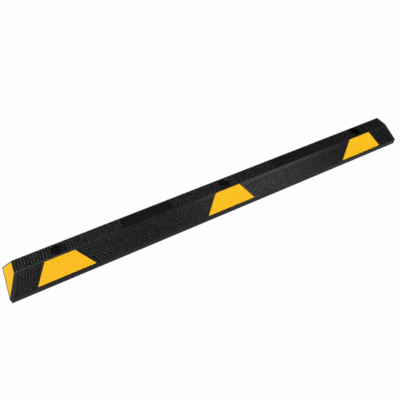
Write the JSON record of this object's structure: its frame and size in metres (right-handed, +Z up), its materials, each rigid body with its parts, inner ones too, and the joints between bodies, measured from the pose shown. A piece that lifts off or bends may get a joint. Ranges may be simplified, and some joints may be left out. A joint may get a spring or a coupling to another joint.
{
  "type": "rubber wheel stop",
  "caption": "Long black rubber bar with a studded flat top, sloped sides, hipped ends, inlaid yellow reflective panels and counterbored anchor holes; bolts down to stop car wheels.",
  "frame": {"origin": "middle of the underside, on the ground", "axes": "+X along the bar, +Y across it, away from the side that faces the camera in the picture, +Z up"},
  "size_m": [1.8288, 0.1524, 0.1016],
  "materials": {
    "black_rubber": "matt moulded rubber",
    "yellow_reflective": "retroreflective film on a flat insert",
    "zinc_steel": "zinc plated"
  },
  "bodies": {
    "root": {"rubber_body": "black_rubber", "front_panel_left": "yellow_reflective", "front_panel_middle": "yellow_reflective", "front_panel_right": "yellow_reflective", "rear_panel_left": "yellow_reflective", "rear_panel_middle": "yellow_reflective", "rear_panel_right": "yellow_reflective", "left_end_panel": "yellow_reflective", "right_end_panel": "yellow_reflective", "left_anchor_washer": "zinc_steel", "middle_anchor_washer": "zinc_steel", "right_anchor_washer": "zinc_steel"}
  },
  "joints": []
}
